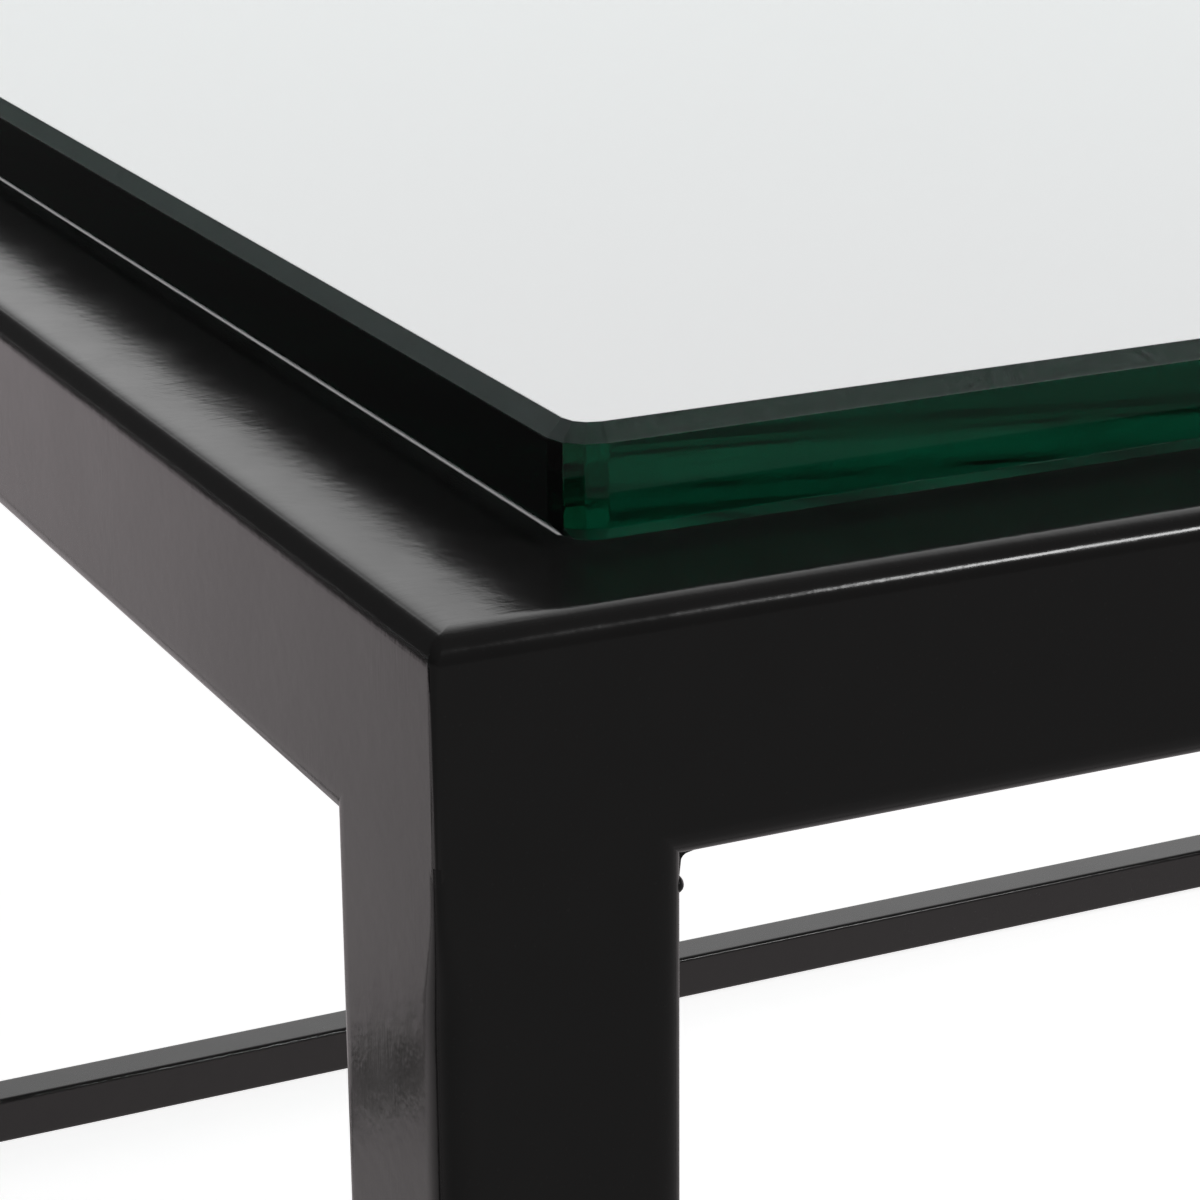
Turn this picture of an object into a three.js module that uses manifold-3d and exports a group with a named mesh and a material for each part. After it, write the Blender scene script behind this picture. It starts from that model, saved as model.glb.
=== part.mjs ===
// A nest of two tables: welded frames of square steel tube with loose glass tops.
// Millimetres, +Z up. The origin is on the floor, under the middle of the pair.
// The small table stands drawn out in front, towards -Y. It slides back under the large one.

import * as THREE from "three";
import { mergeVertices } from "three/addons/utils/BufferGeometryUtils.js";
import Module from "manifold-3d";

// The two tables: outside width along X, outside depth along Y, floor to the top of the frame.
const LARGE = { name: "large", width: 900, depth: 760, frameTop: 494 };
const SMALL = { name: "small", width: 840, depth: 700, frameTop: 452 };
const STANDING_GAP = 140; // clear floor between the two tables

// Square tube of the legs and the top rails.
const TUBE = 20;
const TUBE_WALL = 1.5;
const TUBE_RADIUS = 2.4;

// Lighter square tube of the lower stretchers.
const STRETCHER = 16;
const STRETCHER_WALL = 1.2;
const STRETCHER_RADIUS = 2;

// Each welded piece is cut this much short, which leaves the root gap of the weld.
const WELD_GAP = 0.1;

// Glass top, laid loose on the rails.
const GLASS = 9.1;
const GLASS_INSET = 13.8; // frame's outer face to glass edge, with the glass centred
const GLASS_SHIFT = 3.1; // the glass lies this far back of centre
const GLASS_ARRIS = 1.3;
const GLASS_CORNER_CLIP = 1.8;

// Plastic glide: a square head under the leg and a hollow plug up inside it.
const GLIDE_HEAD = 4;
const GLIDE_CHAMFER = 1;
const PLUG_HEIGHT = 12;
const PLUG_WALL = 1.6;
const PLUG_CLEARANCE = 0.3;
const PLUG_OVERLAP = 1; // how far the plug runs down into the head

const CURVE_SEGMENTS = 2; // half the flats in each rounded corner

const blackPaint = new THREE.MeshStandardMaterial({
  color: 0x141313,
  roughness: 0.3,
  metalness: 0,
});
const greenGlass = new THREE.MeshStandardMaterial({
  color: 0xb9d6cc,
  roughness: 0.03,
  metalness: 0,
  transparent: true,
  opacity: 0.35,
});
const blackPlastic = new THREE.MeshStandardMaterial({
  color: 0x101011,
  roughness: 0.55,
  metalness: 0,
});

const wasm = await Module();
wasm.setup();

// A three.js geometry as a manifold-3d solid.
function toSolid(geometry) {
  const bare = geometry.clone();
  bare.deleteAttribute("normal");
  bare.deleteAttribute("uv");
  const merged = mergeVertices(bare, 1e-4);
  return new wasm.Manifold(
    new wasm.Mesh({
      numProp: 3,
      vertProperties: merged.getAttribute("position").array,
      triVerts: new Uint32Array(merged.index.array),
    }),
  );
}

// A manifold-3d solid as a three.js geometry.
function toGeometry(solid) {
  const mesh = solid.getMesh();
  const geometry = new THREE.BufferGeometry();
  geometry.setAttribute(
    "position",
    new THREE.BufferAttribute(mesh.vertProperties, 3),
  );
  geometry.setIndex(new THREE.BufferAttribute(mesh.triVerts, 1));
  geometry.computeVertexNormals();
  return geometry;
}

// A square outline with rounded corners, centred on the origin.
function roundedSquare(size, radius, path = new THREE.Shape()) {
  const half = size / 2;
  const flat = half - radius;
  path.moveTo(flat, -half);
  path.absarc(flat, -flat, radius, -Math.PI / 2, 0, false);
  path.absarc(flat, flat, radius, 0, Math.PI / 2, false);
  path.absarc(-flat, flat, radius, Math.PI / 2, Math.PI, false);
  path.absarc(-flat, -flat, radius, Math.PI, Math.PI * 1.5, false);
  return path;
}

// A hollow square tube, centred on the origin and running along Z. With slant 1 both ends
// are mitred at 45 degrees and the +x side is the long one; with slant 0 they are square.
function tubeGeometry(size, wall, radius, length, slant) {
  const section = roundedSquare(size, radius);
  section.holes.push(roundedSquare(size - 2 * wall, radius - wall, new THREE.Path()));
  const geometry = new THREE.ExtrudeGeometry(section, {
    depth: length,
    bevelEnabled: false,
    curveSegments: CURVE_SEGMENTS,
  });
  geometry.translate(0, 0, -length / 2);
  const position = geometry.getAttribute("position");
  for (let i = 0; i < position.count; i += 1) {
    const z = position.getZ(i);
    position.setZ(i, z + Math.sign(z) * slant * position.getX(i));
  }
  geometry.computeVertexNormals();
  return geometry;
}

// A tube that lies along X with its long side, if it has one, towards -Y.
function lyingTube(size, wall, radius, length, slant) {
  const geometry = tubeGeometry(size, wall, radius, length, slant);
  geometry.rotateY(Math.PI / 2);
  geometry.rotateX(-Math.PI / 2);
  return geometry;
}

// Top rail: mitred into its neighbours at both ends.
function railGeometry(outsideLength) {
  const middleLength = outsideLength - TUBE - 2 * WELD_GAP;
  return lyingTube(TUBE, TUBE_WALL, TUBE_RADIUS, middleLength, 1);
}

// Lower stretcher: square ends that butt on the legs.
function stretcherGeometry(outsideLength) {
  const length = outsideLength - 2 * TUBE - 2 * WELD_GAP;
  return lyingTube(STRETCHER, STRETCHER_WALL, STRETCHER_RADIUS, length, 0);
}

// Leg: from the glide's head up to the underside of the mitred rails.
function legGeometry(frameTop) {
  const length = frameTop - TUBE - WELD_GAP - GLIDE_HEAD;
  const geometry = tubeGeometry(TUBE, TUBE_WALL, TUBE_RADIUS, length, 0);
  geometry.translate(0, 0, GLIDE_HEAD + length / 2);
  return geometry;
}

// Glass: a slab with flat arrises round both faces and its four corners clipped.
function glassGeometry(table) {
  const x = table.width / 2 - GLASS_INSET - GLASS_ARRIS;
  const y = table.depth / 2 - GLASS_INSET - GLASS_ARRIS;
  const clip = GLASS_CORNER_CLIP;
  const outline = new THREE.Shape([
    new THREE.Vector2(x - clip, -y),
    new THREE.Vector2(x, -y + clip),
    new THREE.Vector2(x, y - clip),
    new THREE.Vector2(x - clip, y),
    new THREE.Vector2(-x + clip, y),
    new THREE.Vector2(-x, y - clip),
    new THREE.Vector2(-x, -y + clip),
    new THREE.Vector2(-x + clip, -y),
  ]);
  const geometry = new THREE.ExtrudeGeometry(outline, {
    depth: GLASS - 2 * GLASS_ARRIS,
    bevelThickness: GLASS_ARRIS,
    bevelSize: GLASS_ARRIS,
    bevelSegments: 1,
  });
  geometry.translate(0, 0, GLASS_ARRIS);
  return geometry;
}

// Glide: a chamfered head the size of the tube, and a hollow plug that opens upwards.
function glideGeometry() {
  const head = new THREE.ExtrudeGeometry(
    roundedSquare(TUBE - 2 * GLIDE_CHAMFER, TUBE_RADIUS - GLIDE_CHAMFER),
    {
      depth: GLIDE_HEAD - GLIDE_CHAMFER,
      bevelThickness: GLIDE_CHAMFER,
      bevelSize: GLIDE_CHAMFER,
      bevelSegments: 1,
      curveSegments: CURVE_SEGMENTS,
    },
  );
  head.translate(0, 0, GLIDE_CHAMFER);
  // The head is only chamfered underneath, so its top is cut off flat.
  const cutter = new THREE.BoxGeometry(2 * TUBE, 2 * TUBE, 2 * TUBE);
  cutter.translate(0, 0, GLIDE_HEAD + TUBE);
  const plugSize = TUBE - 2 * TUBE_WALL - 2 * PLUG_CLEARANCE;
  const plugRadius = TUBE_RADIUS - TUBE_WALL;
  const plugSection = roundedSquare(plugSize, plugRadius);
  plugSection.holes.push(
    roundedSquare(plugSize - 2 * PLUG_WALL, plugRadius / 2, new THREE.Path()),
  );
  const plug = new THREE.ExtrudeGeometry(plugSection, {
    depth: PLUG_HEIGHT + PLUG_OVERLAP,
    bevelEnabled: false,
    curveSegments: CURVE_SEGMENTS,
  });
  plug.translate(0, 0, GLIDE_HEAD - PLUG_OVERLAP);
  return toGeometry(toSolid(head).subtract(toSolid(cutter)).add(toSolid(plug)));
}

// One named mesh, placed in its parent group.
function addPiece(parent, name, geometry, material, x, y, z) {
  const mesh = new THREE.Mesh(geometry, material);
  mesh.name = name;
  mesh.position.set(x, y, z);
  parent.add(mesh);
}

// The four sides in turn, each a quarter turn on from the front.
const SIDES = ["front", "right", "rear", "left"];

// One whole table, centred on its own origin on the floor.
function buildTable(table) {
  const group = new THREE.Group();
  const glideShape = glideGeometry();
  const legShape = legGeometry(table.frameTop);
  const legX = table.width / 2 - TUBE / 2;
  const legY = table.depth / 2 - TUBE / 2;

  SIDES.forEach((side, quarterTurns) => {
    const isEnd = quarterTurns % 2 === 1;
    const sideGroup = new THREE.Group();
    sideGroup.rotation.z = (quarterTurns * Math.PI) / 2;
    group.add(sideGroup);
    const length = isEnd ? table.depth : table.width;
    const reach = isEnd ? legX : legY;
    const railZ = table.frameTop - TUBE / 2;
    const railName = `${table.name}_${side}_rail`;
    addPiece(sideGroup, railName, railGeometry(length), blackPaint, 0, -reach, railZ);
    if (side !== "front") {
      // The front has no stretcher, so that the smaller table can slide in.
      const stretcherZ = GLIDE_HEAD + STRETCHER / 2;
      const stretcherName = `${table.name}_${side}_stretcher`;
      const shape = stretcherGeometry(length);
      addPiece(sideGroup, stretcherName, shape, blackPaint, 0, -reach, stretcherZ);
    }
  });

  for (const [end, endSign] of [["front", -1], ["rear", 1]]) {
    for (const [hand, handSign] of [["left", -1], ["right", 1]]) {
      const corner = `${table.name}_${end}_${hand}`;
      const x = handSign * legX;
      const y = endSign * legY;
      addPiece(group, `${corner}_leg`, legShape, blackPaint, x, y, 0);
      addPiece(group, `${corner}_glide`, glideShape, blackPlastic, x, y, 0);
    }
  }

  const glassName = `${table.name}_glass_top`;
  const glassShape = glassGeometry(table);
  addPiece(group, glassName, glassShape, greenGlass, 0, GLASS_SHIFT, table.frameTop);
  return group;
}

const nest = new THREE.Group();
const overallDepth = LARGE.depth + STANDING_GAP + SMALL.depth;

const largeTable = buildTable(LARGE);
largeTable.position.y = overallDepth / 2 - LARGE.depth / 2;
nest.add(largeTable);

const smallTable = buildTable(SMALL);
smallTable.position.y = SMALL.depth / 2 - overallDepth / 2;
nest.add(smallTable);

export default nest;
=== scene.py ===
# A nest of two low tables: welded frames of black-enamelled square steel tube, each with a
# loose top of thick clear glass. The finished pieces are put together around the CAD model.

from math import cos, pi, radians, sin

import bmesh
import bpy
from mathutils import Matrix, Vector, noise


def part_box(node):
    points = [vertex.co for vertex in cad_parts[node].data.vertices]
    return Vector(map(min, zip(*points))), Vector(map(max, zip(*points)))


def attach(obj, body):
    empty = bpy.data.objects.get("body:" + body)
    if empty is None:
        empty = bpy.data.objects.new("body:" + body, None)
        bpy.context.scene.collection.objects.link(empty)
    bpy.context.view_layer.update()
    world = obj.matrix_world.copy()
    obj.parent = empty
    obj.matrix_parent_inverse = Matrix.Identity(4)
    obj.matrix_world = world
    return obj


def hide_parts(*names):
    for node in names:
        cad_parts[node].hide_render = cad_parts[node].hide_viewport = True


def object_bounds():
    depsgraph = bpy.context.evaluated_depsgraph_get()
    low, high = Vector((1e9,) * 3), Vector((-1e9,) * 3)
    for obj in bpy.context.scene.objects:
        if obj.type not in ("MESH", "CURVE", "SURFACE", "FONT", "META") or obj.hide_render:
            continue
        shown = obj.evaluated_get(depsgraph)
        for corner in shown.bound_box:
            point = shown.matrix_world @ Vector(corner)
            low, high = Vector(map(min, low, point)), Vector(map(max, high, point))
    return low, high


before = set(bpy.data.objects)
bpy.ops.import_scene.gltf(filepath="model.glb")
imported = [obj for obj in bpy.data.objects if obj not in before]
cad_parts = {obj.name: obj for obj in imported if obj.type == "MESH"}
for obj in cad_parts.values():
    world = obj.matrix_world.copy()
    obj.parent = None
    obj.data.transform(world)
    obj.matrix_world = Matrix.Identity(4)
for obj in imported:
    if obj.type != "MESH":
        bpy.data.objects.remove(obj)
cad_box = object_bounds()

# ---- Top rails -----------------------------------------------------------------------------
# Four rails of 20 mm square steel tube, sawn at 45 degrees and welded into a flat ring.
# The welds are ground flush, and the outer corners are dressed before the frame is enamelled.

TABLES = ("large", "small")
SIDES = ("front", "right", "rear", "left")
TUBE_RADIUS = 0.0024  # the rounding as it is drawn
TUBE_RUN_OUT = 0.0030  # the rounding runs out softly into the flats, this far from the corner
SOFT_PROFILE = 0.6  # fuller than a plain arc, to go with the longer run-out
TUBE_WALL = 0.0015
ROUND_STEPS = 12  # flats in each rounded edge of a tube
DRESSED_RADIUS = 0.0009  # the outer corner of a mitre after the grinder
CLIMB_STEPS = 6  # dressing cuts from the upright edge of a corner to its top
TURN_STEPS = 3  # dressing cuts from a rail's side to the mitre
ON_PLANE = 1e-6
SHARP_ANGLE = radians(32)  # edges that turn more than this are shaded as sharp


def add_bar(bm, low, high, along, radius, steps=ROUND_STEPS, profile=0.5):
    """A solid bar between two corners, with the four edges along one axis rounded."""
    size = high - low
    place = Matrix.Translation((low + high) / 2) @ Matrix.Diagonal((*size, 1))
    corners = bmesh.ops.create_cube(bm, size=1, matrix=place)["verts"]
    long_edges = []
    for edge in bm.edges:
        ends = edge.verts
        runs_along = abs(ends[0].co[along] - ends[1].co[along]) > size[along] / 2
        if ends[0] in corners and ends[1] in corners and runs_along:
            long_edges.append(edge)
    bmesh.ops.bevel(
        bm, geom=long_edges, offset=radius, segments=steps, profile=profile,
        affect="EDGES", material=-1,
    )


def saw(bm, point, outward):
    """Cut off everything beyond a plane and close the cut."""
    cut = bmesh.ops.bisect_plane(
        bm, geom=bm.verts[:] + bm.edges[:] + bm.faces[:], dist=1e-8,
        plane_co=point, plane_no=outward, clear_outer=True,
    )["geom_cut"]
    edges = [part for part in cut if isinstance(part, bmesh.types.BMEdge)]
    if edges:
        bmesh.ops.edgeloop_fill(bm, edges=edges)


def add_tube(bm, low, high, along, radius, wall, ends, dressing=()):
    """A hollow tube: an outer and an inner bar sawn off together and joined at both ends."""
    inset = Vector((wall, wall, wall))
    inset[along] = 0
    add_bar(bm, low, high, along, radius, profile=SOFT_PROFILE)
    add_bar(bm, low + inset, high - inset, along, radius - wall)
    for point, outward in (*ends, *dressing):
        saw(bm, point, outward)
    bm.normal_update()
    for point, outward in ends:
        caps = []
        for face in bm.faces:
            beyond = (face.calc_center_median() - point).dot(outward)
            if abs(beyond) < ON_PLANE and abs(face.normal.dot(outward)) > 0.999:
                caps.append(face)
        bmesh.ops.delete(bm, geom=caps, context="FACES")
        rims = []
        for edge in bm.edges:
            on_plane = all(abs((v.co - point).dot(outward)) < ON_PLANE for v in edge.verts)
            if edge.is_boundary and on_plane:
                rims.append(edge)
        bmesh.ops.bridge_loops(bm, edges=rims)
    bmesh.ops.recalc_face_normals(bm, faces=bm.faces)


def dressing_cuts(corner, out_a, out_b, up):
    """The planes that round rail a's half of a mitre's outer corner."""
    curl = TUBE_RADIUS - DRESSED_RADIUS
    cuts = []
    for climb_step in range(CLIMB_STEPS):
        climb = climb_step / CLIMB_STEPS * pi / 2
        sideways = DRESSED_RADIUS + curl * (1 - cos(climb))
        down = DRESSED_RADIUS + curl * (1 - sin(climb))
        crease = corner - (out_a + out_b) * sideways - up * down
        normal_a = out_a * cos(climb) + up * sin(climb)
        normal_b = out_b * cos(climb) + up * sin(climb)
        for turn_step in range(TURN_STEPS):
            turn = (turn_step + 1) / TURN_STEPS / 2
            normal = normal_a.lerp(normal_b, turn).normalized()
            cuts.append((crease + normal * DRESSED_RADIUS, normal))
    return cuts


def ring_box(table):
    """The lowest and highest corner of a table's ring of top rails."""
    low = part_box(f"{table}_left_rail")[0]
    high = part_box(f"{table}_right_rail")[1]
    low.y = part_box(f"{table}_front_rail")[0].y
    high.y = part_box(f"{table}_rear_rail")[1].y
    return low, high


def new_group(name, inputs, outputs):
    """A shader node group with named sockets, and its input and output nodes."""
    group = bpy.data.node_groups.new(name, "ShaderNodeTree")
    for label, kind in inputs:
        group.interface.new_socket(name=label, in_out="INPUT", socket_type=kind)
    for label, kind in outputs:
        group.interface.new_socket(name=label, in_out="OUTPUT", socket_type=kind)
    return group, group.nodes.new("NodeGroupInput"), group.nodes.new("NodeGroupOutput")


def add_noise(tree, vector, scale, detail=2.0):
    """A noise texture on a vector socket, with a plain or a linked scale."""
    texture = tree.nodes.new("ShaderNodeTexNoise")
    texture.inputs["Detail"].default_value = detail
    tree.links.new(vector, texture.inputs["Vector"])
    if isinstance(scale, (int, float)):
        texture.inputs["Scale"].default_value = scale
    else:
        tree.links.new(scale, texture.inputs["Scale"])
    return texture.outputs["Fac"]


def add_math(tree, operation, *values):
    """A math node on plain or linked values."""
    node = tree.nodes.new("ShaderNodeMath")
    node.operation = operation
    for socket, value in zip(node.inputs, values):
        if isinstance(value, (int, float)):
            socket.default_value = value
        else:
            tree.links.new(value, socket)
    return node.outputs[0]


def add_range(tree, value, from_low, from_high, to_low, to_high):
    """A smooth change from one range of values to another."""
    node = tree.nodes.new("ShaderNodeMapRange")
    node.interpolation_type = "SMOOTHSTEP"
    tree.links.new(value, node.inputs["Value"])
    node.inputs["From Min"].default_value = from_low
    node.inputs["From Max"].default_value = from_high
    node.inputs["To Min"].default_value = to_low
    node.inputs["To Max"].default_value = to_high
    return node.outputs["Result"]


# A skin of paint or plastic is never flat: coarse and fine unevenness in one height.
FLOAT, VECTOR, COLOR = "NodeSocketFloat", "NodeSocketVector", "NodeSocketColor"
surface_grain, grain_in, grain_out = new_group(
    "surface_grain",
    (("Place", VECTOR), ("Coarse Scale", FLOAT), ("Fine Scale", FLOAT), ("Fine Share", FLOAT)),
    (("Height", FLOAT),),
)
coarse = add_noise(surface_grain, grain_in.outputs["Place"], grain_in.outputs["Coarse Scale"])
fine = add_noise(surface_grain, grain_in.outputs["Place"], grain_in.outputs["Fine Scale"])
fine_part = add_math(surface_grain, "MULTIPLY", fine, grain_in.outputs["Fine Share"])
grain_height = add_math(surface_grain, "ADD", coarse, fine_part)
surface_grain.links.new(grain_height, grain_out.inputs["Height"])

# Dust settles in patches on whatever faces up, and dulls it.
fine_dust, dust_in, dust_out = new_group(
    "fine_dust",
    (("Place", VECTOR), ("Amount", FLOAT), ("Clean Color", COLOR), ("Clean Roughness", FLOAT)),
    (("Color", COLOR), ("Roughness", FLOAT)),
)
DUST_COLOR = (0.30, 0.29, 0.28, 1)
patches = add_noise(fine_dust, dust_in.outputs["Place"], 45, 4)
motes = add_noise(fine_dust, dust_in.outputs["Place"], 2600, 1)
patch_mask = add_range(fine_dust, patches, 0.42, 0.70, 0.15, 1)
mote_mask = add_range(fine_dust, motes, 0.66, 0.78, 0, 1)
facing = fine_dust.nodes.new("ShaderNodeNewGeometry")
split_normal = fine_dust.nodes.new("ShaderNodeSeparateXYZ")
fine_dust.links.new(facing.outputs["Normal"], split_normal.inputs[0])
up_mask = add_range(fine_dust, split_normal.outputs["Z"], 0.5, 1, 0.1, 1)
film = add_math(fine_dust, "MULTIPLY", patch_mask, up_mask)
film_and_motes = add_math(fine_dust, "MULTIPLY_ADD", mote_mask, 4, film)
dust = add_math(fine_dust, "MULTIPLY", film_and_motes, dust_in.outputs["Amount"])
dusty_color = fine_dust.nodes.new("ShaderNodeMixRGB")
dusty_color.inputs["Color2"].default_value = DUST_COLOR
fine_dust.links.new(dust, dusty_color.inputs["Fac"])
fine_dust.links.new(dust_in.outputs["Clean Color"], dusty_color.inputs["Color1"])
fine_dust.links.new(dusty_color.outputs["Color"], dust_out.inputs["Color"])
dusty_roughness = add_math(fine_dust, "ADD", dust_in.outputs["Clean Roughness"], dust)
fine_dust.links.new(dusty_roughness, dust_out.inputs["Roughness"])


def new_material(name, roughness, ior=1.5):
    """A material with its shader and the coordinates that its patterns follow."""
    material = bpy.data.materials.new(name)
    material.use_nodes = True
    shader = material.node_tree.nodes["Principled BSDF"]
    shader.inputs["Roughness"].default_value = roughness
    shader.inputs["IOR"].default_value = ior
    coordinates = material.node_tree.nodes.new("ShaderNodeTexCoord")
    return material, material.node_tree, shader, coordinates.outputs["Object"]


def use_group(tree, group, place, **values):
    """A group placed in a material, with its own values."""
    node = tree.nodes.new("ShaderNodeGroup")
    node.node_tree = group
    tree.links.new(place, node.inputs["Place"])
    for label, value in values.items():
        socket = node.inputs[label.replace("_", " ")]
        if isinstance(value, bpy.types.NodeSocket):
            tree.links.new(value, socket)
        else:
            socket.default_value = value
    return node


def add_bump(tree, shader, height, distance, below=None):
    """Relief of a given depth in metres on the shader's normal, over any relief below it."""
    bump = tree.nodes.new("ShaderNodeBump")
    bump.inputs["Distance"].default_value = distance
    tree.links.new(height, bump.inputs["Height"])
    if below:
        tree.links.new(below, bump.inputs["Normal"])
    tree.links.new(bump.outputs["Normal"], shader.inputs["Normal"])
    return bump.outputs["Normal"]


# Sprayed black enamel: a little orange peel, long soft waves where the tube was dressed, and
# short sanding marks that show through in places.
WAVE_DEPTH = 0.00012
PEEL_DEPTH = 0.000016
MARK_DEPTH = 0.000011
MARK_DIRECTION = radians(28)
enamel, tree, shader, place = new_material("black_enamel", 0.22, 1.56)
waves = add_noise(tree, place, 38, 1)
waved = add_bump(tree, shader, waves, WAVE_DEPTH)
peel = use_group(
    tree, surface_grain, place, Coarse_Scale=620.0, Fine_Scale=2600.0, Fine_Share=0.22,
)
peeled = add_bump(tree, shader, peel.outputs["Height"], PEEL_DEPTH, waved)
brushing = tree.nodes.new("ShaderNodeMapping")
brushing.inputs["Rotation"].default_value = (0, 0, MARK_DIRECTION)
brushing.inputs["Scale"].default_value = (3400, 260, 260)
tree.links.new(place, brushing.inputs["Vector"])
streaks = add_noise(tree, brushing.outputs["Vector"], 1, 2)
streak_patches = add_range(tree, add_noise(tree, place, 70, 2), 0.50, 0.68, 0, 1)
marks = add_math(tree, "MULTIPLY", streaks, streak_patches)
add_bump(tree, shader, marks, MARK_DEPTH, peeled)
tone = tree.nodes.new("ShaderNodeMixRGB")
tone.inputs["Color1"].default_value = (0.0180, 0.0170, 0.0168, 1)
tone.inputs["Color2"].default_value = (0.0222, 0.0206, 0.0204, 1)
tree.links.new(add_noise(tree, place, 160, 3), tone.inputs["Fac"])
sheen_patches = add_range(tree, add_noise(tree, place, 120, 3), 0.3, 0.7, 0.13, 0.17)
settled = use_group(
    tree, fine_dust, place, Amount=0.004,
    Clean_Color=tone.outputs["Color"], Clean_Roughness=sheen_patches,
)
tree.links.new(settled.outputs["Color"], shader.inputs["Base Color"])
tree.links.new(settled.outputs["Roughness"], shader.inputs["Roughness"])


def new_piece(bm, name, material, body, nodes=(), smooth=True):
    """Turn a bmesh into a finished piece that moves with a body and stands for CAD nodes."""
    mesh = bpy.data.meshes.new(name)
    bm.to_mesh(mesh)
    bm.free()
    mesh.materials.append(material)
    piece = bpy.data.objects.new(name, mesh)
    bpy.context.scene.collection.objects.link(piece)
    if smooth:
        mesh.shade_smooth()
        mesh.set_sharp_from_angle(angle=SHARP_ANGLE)
        even = piece.modifiers.new("even_normals", "WEIGHTED_NORMAL")
        even.keep_sharp = True
    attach(piece, body)
    if nodes:
        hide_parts(*nodes)
    return piece


UP = Vector((0, 0, 1))
OUTWARDS = {
    "front": Vector((0, -1, 0)),
    "right": Vector((1, 0, 0)),
    "rear": Vector((0, 1, 0)),
    "left": Vector((-1, 0, 0)),
}
for table in TABLES:
    ring_low, ring_high = ring_box(table)
    for position, side in enumerate(SIDES):
        outward = OUTWARDS[side]
        along = 1 if side in ("left", "right") else 0
        low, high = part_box(f"{table}_{side}_rail")
        low[along] = ring_low[along]
        high[along] = ring_high[along]
        neighbours = (OUTWARDS[SIDES[position - 1]], OUTWARDS[SIDES[(position + 1) % 4]])
        ends = []
        dressing = []
        for beside in neighbours:
            corner = (ring_low + ring_high) / 2
            corner.z = ring_high.z
            for direction in (outward, beside):
                axis = 0 if direction.x else 1
                corner[axis] = ring_high[axis] if direction[axis] > 0 else ring_low[axis]
            ends.append((corner, (beside - outward).normalized()))
            dressing += dressing_cuts(corner, outward, beside, UP)
        bm = bmesh.new()
        add_tube(bm, low, high, along, TUBE_RUN_OUT, TUBE_WALL, ends, dressing)
        node = f"{table}_{side}_rail"
        new_piece(bm, f"{node}_tube", enamel, f"{table}_table", [node])

# ---- Legs ----------------------------------------------------------------------------------
# Four legs of the same tube, welded under the corners of the ring. Weld metal fills the
# rails' rounded lower edge, so the outer faces run on flush from rail to leg.

FADE_LENGTH = 0.0095  # over this length the leg's outer edge goes from dressed to as drawn
FADE_STEPS = 10
CORNERS = [(end, hand) for end in ("front", "rear") for hand in ("left", "right")]


def leg_corner(table, end, hand):
    """A leg's outer upright edge at the top rails' underside, and the two outward ways."""
    ring_low, ring_high = ring_box(table)
    x = ring_low.x if hand == "left" else ring_high.x
    y = ring_low.y if end == "front" else ring_high.y
    return Vector((x, y, ring_low.z)), OUTWARDS[hand], OUTWARDS[end]


for table in TABLES:
    for end, hand in CORNERS:
        node = f"{table}_{end}_{hand}_leg"
        corner, out_x, out_y = leg_corner(table, end, hand)
        low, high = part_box(node)
        high.z = corner.z + TUBE_RUN_OUT
        ends = [(low.copy(), -UP), (high.copy(), UP)]
        bm = bmesh.new()
        add_tube(bm, low, high, 2, TUBE_RUN_OUT, TUBE_WALL, ends)
        for step in range(FADE_STEPS + 1):
            level = Vector((0, 0, corner.z - step / FADE_STEPS * FADE_LENGTH))
            bmesh.ops.bisect_plane(
                bm, geom=bm.verts[:] + bm.edges[:] + bm.faces[:], dist=1e-8,
                plane_co=level, plane_no=UP,
            )
        sharper = DRESSED_RADIUS / TUBE_RADIUS
        for vert in bm.verts:
            inset = (corner - vert.co).xy
            in_rounding = max(abs(inset.x), abs(inset.y)) < TUBE_RUN_OUT + ON_PLANE
            outside = min(abs(inset.x), abs(inset.y)) < TUBE_WALL - ON_PLANE
            fade = min(max((corner.z - vert.co.z) / FADE_LENGTH, 0), 1)
            if in_rounding and outside and fade < 1:
                eased = fade * fade * (3 - 2 * fade)
                vert.co.xy = corner.xy - inset * (sharper + (1 - sharper) * eased)
        new_piece(bm, f"{node}_tube", enamel, f"{table}_table", [node])

# ---- Welds of the legs ---------------------------------------------------------------------
# A small hollow fillet of weld metal in each inner angle between a leg and the rails, filed
# back from the outer faces. Below it a bead of spatter is left on the leg's rounded edge.

LEG_WELD_REACH = 0.0013  # along the rail
LEG_WELD_DROP = 0.0022  # down the leg
LEG_WELD_THROAT = 0.00022
FILED_BACK = 0.0018  # the weld stops where the tubes round off
RUN_STEP = 0.0006
HOLLOW = 1.6  # the hollow of a fillet, in throats
HOLLOW_STEPS = 5
RIPPLE_SCALE = 1100
LEG_WELD_RIPPLE = 0.00009
SPATTER_RADIUS = 0.0008
SPATTER_SUNK = 0.0004
SPATTER_TURN = radians(26)  # where on the rounded edge the bead sits


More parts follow.
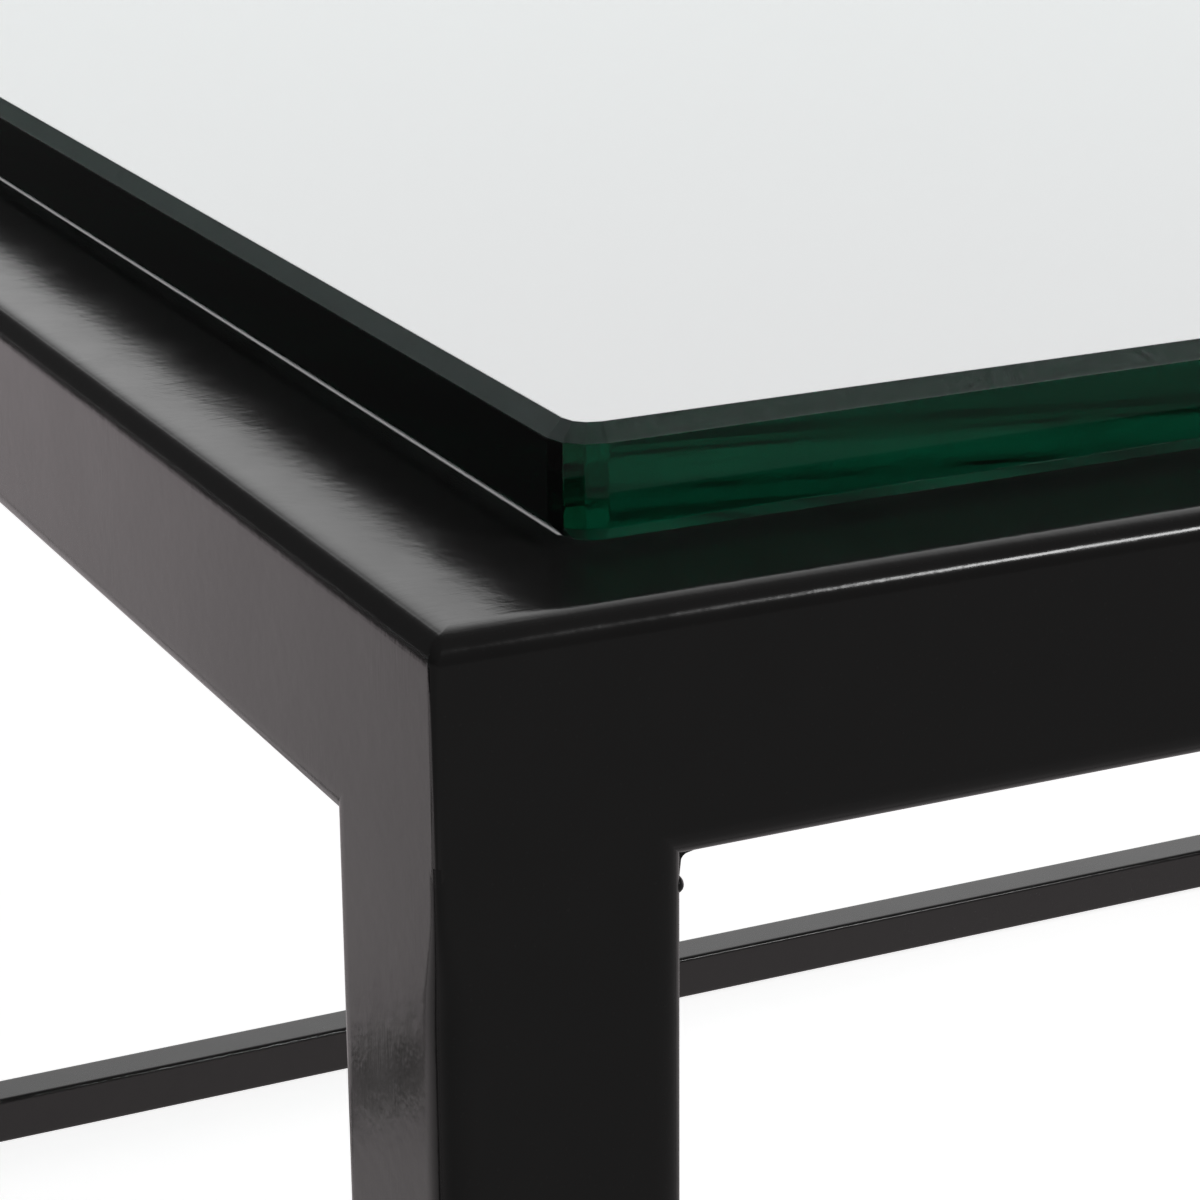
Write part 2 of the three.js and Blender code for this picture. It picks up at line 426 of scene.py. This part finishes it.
def add_weld(bm, start, run, way_a, way_b, leg_a, leg_b, throat, root):
    """A straight hollow fillet that starts at a joint's root and runs along it.

    Each step leaves its starting face inside the metal, so that face is taken out again.
    """
    outline = (
        (-root, -root), (leg_a, -root), (leg_a, 0), (throat, throat), (0, leg_b), (-root, leg_b),
    )
    verts = [bm.verts.new(start + way_a * a + way_b * b) for a, b in outline]
    bm.faces.new(verts)
    bmesh.ops.bevel(
        bm, geom=[verts[3]], offset=HOLLOW * throat, segments=HOLLOW_STEPS, profile=0.5,
        affect="VERTICES", material=-1,
    )
    section = list(verts[0].link_faces)
    steps = max(int(run.length / RUN_STEP), 2)
    for step in range(steps):
        grown = bmesh.ops.extrude_face_region(bm, geom=section)["geom"]
        if step > 0:
            bmesh.ops.delete(bm, geom=section, context="FACES_ONLY")
        moved = [part for part in grown if isinstance(part, bmesh.types.BMVert)]
        section = [part for part in grown if isinstance(part, bmesh.types.BMFace)]
        bmesh.ops.translate(bm, vec=run / steps, verts=moved)


def roughen_weld(bm, depth):
    """The uneven skin of weld metal."""
    bmesh.ops.recalc_face_normals(bm, faces=bm.faces)
    bm.normal_update()
    for vert in bm.verts:
        vert.co += vert.normal * depth * (noise.noise(vert.co * RIPPLE_SCALE) - 0.5)


for table in TABLES:
    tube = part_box(f"{table}_front_rail")[1].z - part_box(f"{table}_front_rail")[0].z
    for end, hand in CORNERS:
        corner, out_x, out_y = leg_corner(table, end, hand)
        bm = bmesh.new()
        for across, away in ((out_x, -out_y), (out_y, -out_x)):
            start = corner + away * tube - across * (tube - FILED_BACK)
            run = across * (tube - 2 * FILED_BACK)
            add_weld(
                bm, start, run, away, -UP, LEG_WELD_REACH, LEG_WELD_DROP, LEG_WELD_THROAT,
                TUBE_RADIUS,
            )
            edge_centre = corner + away * (tube - TUBE_RADIUS) - across * TUBE_RADIUS
            spoke = away * cos(SPATTER_TURN) + across * sin(SPATTER_TURN)
            bead = edge_centre + spoke * (TUBE_RADIUS - SPATTER_SUNK) - UP * LEG_WELD_DROP
            bmesh.ops.create_icosphere(
                bm, subdivisions=3, radius=SPATTER_RADIUS, matrix=Matrix.Translation(bead),
            )
        roughen_weld(bm, LEG_WELD_RIPPLE)
        name = f"{table}_{end}_{hand}_leg_weld"
        new_piece(bm, name, enamel, f"{table}_table")

# ---- Stretchers ----------------------------------------------------------------------------
# Low rails of lighter 16 mm tube on the ends and the rear, butted on the legs' inner faces
# and welded along the top and both sides. The front is left open for the smaller table.

STRETCHER_RADIUS = 0.002
STRETCHER_WALL = 0.0012
WELD_ROOT = 0.0004
STRETCHER_WELD = (0.0014, 0.0014, 0.0005, WELD_ROOT)  # two legs, throat and root
STRETCHER_WELD_RIPPLE = 0.00016

for table in TABLES:
    ring_low, ring_high = ring_box(table)
    tube = ring_high.z - ring_low.z
    for side in ("right", "rear", "left"):
        node = f"{table}_{side}_stretcher"
        along = 1 if side in ("left", "right") else 0
        low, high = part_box(node)
        low[along] = ring_low[along] + tube
        high[along] = ring_high[along] - tube
        way = Vector((0, 1, 0)) if along else Vector((1, 0, 0))
        bm = bmesh.new()
        ends = [(low.copy(), -way), (high.copy(), way)]
        add_tube(bm, low, high, along, STRETCHER_RADIUS, STRETCHER_WALL, ends)
        new_piece(bm, f"{node}_tube", enamel, f"{table}_table", [node])

        bm = bmesh.new()
        across = Vector((way.y, way.x, 0))
        half = (high - low).dot(across) / 2
        for leg_face, off_leg in ((low[along], way), (high[along], -way)):
            middle = (low + high) / 2
            middle[along] = leg_face
            top = middle + UP * (high.z - low.z) / 2
            start = top - across * (half - STRETCHER_RADIUS / 2)
            run = across * (2 * half - STRETCHER_RADIUS)
            add_weld(bm, start, run, UP, off_leg, *STRETCHER_WELD)
            for sideways in (across, -across):
                start = middle + sideways * half - UP * (half - WELD_ROOT)
                run = UP * (2 * half - STRETCHER_RADIUS / 2 - WELD_ROOT)
                add_weld(bm, start, run, sideways, off_leg, *STRETCHER_WELD)
        roughen_weld(bm, STRETCHER_WELD_RIPPLE)
        new_piece(bm, f"{node}_weld", enamel, f"{table}_table")

# ---- Glides --------------------------------------------------------------------------------
# Moulded black plastic feet: a square head with a softened lower rim, and a hollow plug that
# is driven up into the leg.

RIM_SOFTENING = 0.0010
PLUG_WALL = 0.0016
PLUG_CLEARANCE = 0.0003
PLUG_RADIUS = 0.0009
PLUG_OVERLAP = 0.001
MOULD_GRAIN_DEPTH = 0.00003

plastic, tree, shader, place = new_material("moulded_plastic", 0.5, 1.49)
moulded = use_group(
    tree, surface_grain, place, Coarse_Scale=1400.0, Fine_Scale=5200.0, Fine_Share=0.5,
)
add_bump(tree, shader, moulded.outputs["Height"], MOULD_GRAIN_DEPTH)
plastic_tone = tree.nodes.new("ShaderNodeMixRGB")
plastic_tone.inputs["Color1"].default_value = (0.016, 0.016, 0.017, 1)
plastic_tone.inputs["Color2"].default_value = (0.024, 0.024, 0.025, 1)
tree.links.new(add_noise(tree, place, 300, 3), plastic_tone.inputs["Fac"])
scuffs = add_range(tree, add_noise(tree, place, 420, 4), 0.35, 0.75, 0.44, 0.62)
settled = use_group(
    tree, fine_dust, place, Amount=0.02,
    Clean_Color=plastic_tone.outputs["Color"], Clean_Roughness=scuffs,
)
tree.links.new(settled.outputs["Color"], shader.inputs["Base Color"])
tree.links.new(settled.outputs["Roughness"], shader.inputs["Roughness"])

for table in TABLES:
    for end, hand in CORNERS:
        node = f"{table}_{end}_{hand}_glide"
        low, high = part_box(node)
        head_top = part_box(f"{table}_{end}_{hand}_leg")[0].z
        bm = bmesh.new()
        add_bar(bm, low, Vector((high.x, high.y, head_top)), 2, TUBE_RADIUS)
        rim = []
        for edge in bm.edges:
            if all(vert.co.z < low.z + ON_PLANE for vert in edge.verts):
                rim.append(edge)
        bmesh.ops.bevel(
            bm, geom=rim, offset=RIM_SOFTENING, segments=4, profile=0.5,
            affect="EDGES", material=-1,
        )
        clear = Vector((1, 1, 0)) * (TUBE_WALL + PLUG_CLEARANCE)
        plug_low = Vector((low.x, low.y, head_top - PLUG_OVERLAP)) + clear
        plug_high = high - clear
        ends = [(plug_low.copy(), -UP), (plug_high.copy(), UP)]
        plug = bmesh.new()
        add_tube(plug, plug_low, plug_high, 2, PLUG_RADIUS + PLUG_WALL, PLUG_WALL, ends)
        plug_mesh = bpy.data.meshes.new("plug")
        plug.to_mesh(plug_mesh)
        plug.free()
        bm.from_mesh(plug_mesh)
        bpy.data.meshes.remove(plug_mesh)
        name = f"{table}_{end}_{hand}_glide_foot"
        new_piece(bm, name, plastic, f"{table}_table", [node])

# ---- Glass tops ----------------------------------------------------------------------------
# Thick clear float glass, laid loose on the rails. The edges are ground flat and polished,
# with a flat arris all round both faces, and the four corners are rounded off in three flats.
# The upper arris is left fine-ground, so it scatters what comes through it.

GLASS_ARRIS = 0.0013
GLASS_CORNER_ROUND = 0.0034
POLISHED_EDGE = 0.00007  # the tiny rounding that the polishing leaves on every edge
ABSORPTION = 9.0  # per metre
GROUND_DEPTH = 0.000002

glass, tree, shader, place = new_material("clear_float_glass", 0, 1.52)
shader.inputs["Transmission Weight"].default_value = 1
tint = tree.nodes.new("ShaderNodeVolumeAbsorption")
tint.inputs["Color"].default_value = (0, 0.60, 0.51, 1)
tint.inputs["Density"].default_value = ABSORPTION
surface_out = tree.nodes["Material Output"]
tree.links.new(tint.outputs["Volume"], surface_out.inputs["Volume"])
direction = tree.nodes.new("ShaderNodeNewGeometry")
split = tree.nodes.new("ShaderNodeSeparateXYZ")
tree.links.new(direction.outputs["Normal"], split.inputs[0])
# Painted shade: the front and rear upright faces are coloured nearly black by the way they face;
# the dark stands in for shade, not for the glass's own colour. This is a set look, and holds
# because the tables only ever slide.
painted_shade_faces = add_range(tree, add_math(tree, "ABSOLUTE", split.outputs["Y"]), 0.975, 0.995, 0, 1)
# The colour of the painted shade on those faces: nearly black.
painted_shade_color = tree.nodes.new("ShaderNodeMixRGB")
painted_shade_color.inputs["Color1"].default_value = (1, 1, 1, 1)
painted_shade_color.inputs["Color2"].default_value = (0.02, 0.02, 0.02, 1)
tree.links.new(painted_shade_faces, painted_shade_color.inputs["Fac"])
tree.links.new(painted_shade_color.outputs["Color"], shader.inputs["Base Color"])
level = add_range(tree, split.outputs["Z"], 0.90, 0.99, 1, 0)
upper = add_range(tree, split.outputs["Z"], 0.10, 0.40, 0, 1)
ground = add_math(tree, "MULTIPLY", level, upper)
fine_marks = add_noise(tree, place, 1500, 4)
edge_marks = add_range(tree, fine_marks, 0.30, 0.70, 0.36, 0.48)
smears = add_range(tree, add_noise(tree, place, 26, 4), 0.52, 0.74, 0.0, 0.05)
edge_roughness = add_math(tree, "MULTIPLY", edge_marks, ground)
glass_roughness = add_math(tree, "ADD", edge_roughness, smears)
tree.links.new(glass_roughness, shader.inputs["Roughness"])
polish = use_group(
    tree, surface_grain, place, Coarse_Scale=420.0, Fine_Scale=2600.0, Fine_Share=0.3,
)
polish_height = add_math(tree, "MULTIPLY", polish.outputs["Height"], ground)
add_bump(tree, shader, polish_height, GROUND_DEPTH)

for table in TABLES:
    node = f"{table}_glass_top"
    low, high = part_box(node)
    bm = bmesh.new()
    add_bar(bm, low, high, 2, GLASS_CORNER_ROUND, steps=3)
    rims = []
    for edge in bm.edges:
        if abs(edge.verts[0].co.z - edge.verts[1].co.z) < ON_PLANE:
            rims.append(edge)
    bmesh.ops.bevel(
        bm, geom=rims, offset=GLASS_ARRIS, segments=1, profile=0.5,
        affect="EDGES", material=-1,
    )
    bmesh.ops.bevel(
        bm, geom=bm.edges[:], offset=POLISHED_EDGE, segments=2, profile=0.5,
        affect="EDGES", material=-1,
    )
    bmesh.ops.recalc_face_normals(bm, faces=bm.faces)
    new_piece(bm, f"{table}_glass_pane", glass, f"{table}_glass", [node], False)

# ---- Studio --------------------------------------------------------------------------------
# A plain pale floor that runs out into a white room, with a long soft light overhead on the
# right. Reflections see the room bright behind the tables and dim elsewhere. Rays that have
# passed through glass see the floor evenly pale. Neither is what the camera sees directly.

FLOOR_HALF = 14
FLOOR_GAP = 0.0002  # between the floor and the feet
floor_material = bpy.data.materials.new("pale_floor")
floor_material.use_nodes = True
tree = floor_material.node_tree
shader = tree.nodes["Principled BSDF"]
shader.inputs["Base Color"].default_value = (0.80, 0.79, 0.79, 1)
shader.inputs["Roughness"].default_value = 0.9
shader.inputs["Specular IOR Level"].default_value = 0
position = tree.nodes.new("ShaderNodeTexCoord")
split = tree.nodes.new("ShaderNodeSeparateXYZ")
tree.links.new(position.outputs["Object"], split.inputs[0])
glow = tree.nodes.new("ShaderNodeValToRGB")
tree.links.new(add_range(tree, split.outputs["X"], -2.4, 1.3, 0, 1), glow.inputs["Fac"])
glow.color_ramp.elements[0].color = (0.745, 0.672, 0.692, 1)
glow.color_ramp.elements[1].color = (0.13, 0.13, 0.13, 1)
middle_stop = glow.color_ramp.elements.new(0.55)
middle_stop.color = (0.50, 0.465, 0.470, 1)
shown = tree.nodes.new("ShaderNodeEmission")
shown.inputs["Strength"].default_value = 0.86
reflected = tree.nodes.new("ShaderNodeEmission")
rays = tree.nodes.new("ShaderNodeLightPath")
through_glass = tree.nodes.new("ShaderNodeMixRGB")
through_glass.inputs["Color2"].default_value = (0.71, 0.645, 0.663, 1)
tree.links.new(rays.outputs["Is Transmission Ray"], through_glass.inputs["Fac"])
tree.links.new(glow.outputs["Color"], through_glass.inputs["Color1"])
tree.links.new(through_glass.outputs["Color"], reflected.inputs["Color"])
both = tree.nodes.new("ShaderNodeAddShader")
tree.links.new(shown.outputs[0], both.inputs[0])
tree.links.new(shader.outputs[0], both.inputs[1])
pick = tree.nodes.new("ShaderNodeMixShader")
tree.links.new(rays.outputs["Is Camera Ray"], pick.inputs["Fac"])
tree.links.new(reflected.outputs[0], pick.inputs[1])
tree.links.new(both.outputs[0], pick.inputs[2])
tree.links.new(pick.outputs[0], tree.nodes["Material Output"].inputs["Surface"])
bm = bmesh.new()
bmesh.ops.create_grid(bm, x_segments=1, y_segments=1, size=FLOOR_HALF)
floor_mesh = bpy.data.meshes.new("floor")
bm.to_mesh(floor_mesh)
bm.free()
floor_mesh.materials.append(floor_material)
floor = bpy.data.objects.new("floor", floor_mesh)
bpy.context.scene.collection.objects.link(floor)
floor.location.z = cad_box[0][2] - FLOOR_GAP

world = bpy.data.worlds.new("studio")
bpy.context.scene.world = world
world.use_nodes = True
tree = world.node_tree
room = tree.nodes["Background"]
position = tree.nodes.new("ShaderNodeTexCoord")
split = tree.nodes.new("ShaderNodeSeparateXYZ")
tree.links.new(position.outputs["Generated"], split.inputs[0])


def room_light(stops):
    """How bright the room is at each height, from the horizon up."""
    ramp = tree.nodes.new("ShaderNodeValToRGB")
    tree.links.new(split.outputs["Z"], ramp.inputs["Fac"])
    elements = ramp.color_ramp.elements
    while len(elements) < len(stops):
        elements.new(0.5)
    for element, (elevation, level) in zip(elements, stops):
        element.position = max(sin(radians(elevation)), 0)
        element.color = (level, level, level, 1)
    return ramp.outputs["Color"]


behind = room_light(((0, 1.0), (30, 1.0), (40, 0.68), (55, 0.16), (90, 0.10)))
before = room_light(((0, 0.07), (30, 0.08), (60, 0.10), (90, 0.10)))
to_right = add_range(tree, split.outputs["X"], -0.35, 0.15, 0, 1)
to_front = add_range(tree, split.outputs["Y"], -0.05, 0.25, 1, 0)
side = add_math(tree, "MAXIMUM", to_right, to_front)
around = tree.nodes.new("ShaderNodeMixRGB")
tree.links.new(side, around.inputs["Fac"])
tree.links.new(behind, around.inputs["Color1"])
tree.links.new(before, around.inputs["Color2"])
rays = tree.nodes.new("ShaderNodeLightPath")
seen = tree.nodes.new("ShaderNodeMixRGB")
seen.inputs["Color2"].default_value = (1, 1, 1, 1)
tree.links.new(rays.outputs["Is Camera Ray"], seen.inputs["Fac"])
tree.links.new(around.outputs["Color"], seen.inputs["Color1"])
tree.links.new(seen.outputs["Color"], room.inputs["Color"])
room.inputs["Strength"].default_value = 1

# The light is placed from the large table's front right corner.
LIGHT_DISTANCE = 1.9
LIGHT_ELEVATION = radians(40)
LIGHT_ALONG = 1.72  # its middle, from the corner towards the rear
LIGHT_WIDTH = 1.3
LIGHT_HEIGHT = 0.28
LIGHT_POWER = 17
corner = ring_box("large")[1].copy()
corner.y = ring_box("large")[0].y
softbox_data = bpy.data.lights.new("softbox", "AREA")
softbox_data.shape = "RECTANGLE"
softbox_data.size = LIGHT_WIDTH
softbox_data.size_y = LIGHT_HEIGHT
softbox_data.energy = LIGHT_POWER
softbox = bpy.data.objects.new("softbox", softbox_data)
bpy.context.scene.collection.objects.link(softbox)
toward_light = Vector((cos(LIGHT_ELEVATION), 0, sin(LIGHT_ELEVATION)))
softbox.location = corner + toward_light * LIGHT_DISTANCE + Vector((0, LIGHT_ALONG, 0))
softbox.rotation_euler = toward_light.to_track_quat("Z", "Y").to_euler()

# The camera looks down along the right rail at the large table's front right corner.
CAMERA_FROM_CORNER = Vector((0.2160, -0.0903, 0.0818))
LENS = 109.1
SENSOR = 36
LOOK_LEFT = radians(64.46)  # from straight back towards the left
LOOK_DOWN = radians(18.65)
ROLL = radians(-0.454)
camera_data = bpy.data.cameras.new("camera")
camera_data.lens = LENS
camera_data.sensor_width = SENSOR
camera_data.clip_start = 0.01
camera = bpy.data.objects.new("camera", camera_data)
bpy.context.scene.collection.objects.link(camera)
turn = Matrix.Rotation(LOOK_LEFT, 4, "Z")
nod = Matrix.Rotation(pi / 2 - LOOK_DOWN, 4, "X")
tilt = Matrix.Rotation(ROLL, 4, "Z")
camera.matrix_world = Matrix.Translation(corner + CAMERA_FROM_CORNER) @ turn @ nod @ tilt
bpy.context.scene.camera = camera
bpy.context.scene.view_settings.view_transform = "Standard"
GLASS_BOUNCES = 64  # light runs far along inside a pane before it leaves the edge
cycles = bpy.context.scene.cycles
cycles.max_bounces = GLASS_BOUNCES
cycles.glossy_bounces = GLASS_BOUNCES
cycles.transmission_bounces = GLASS_BOUNCES
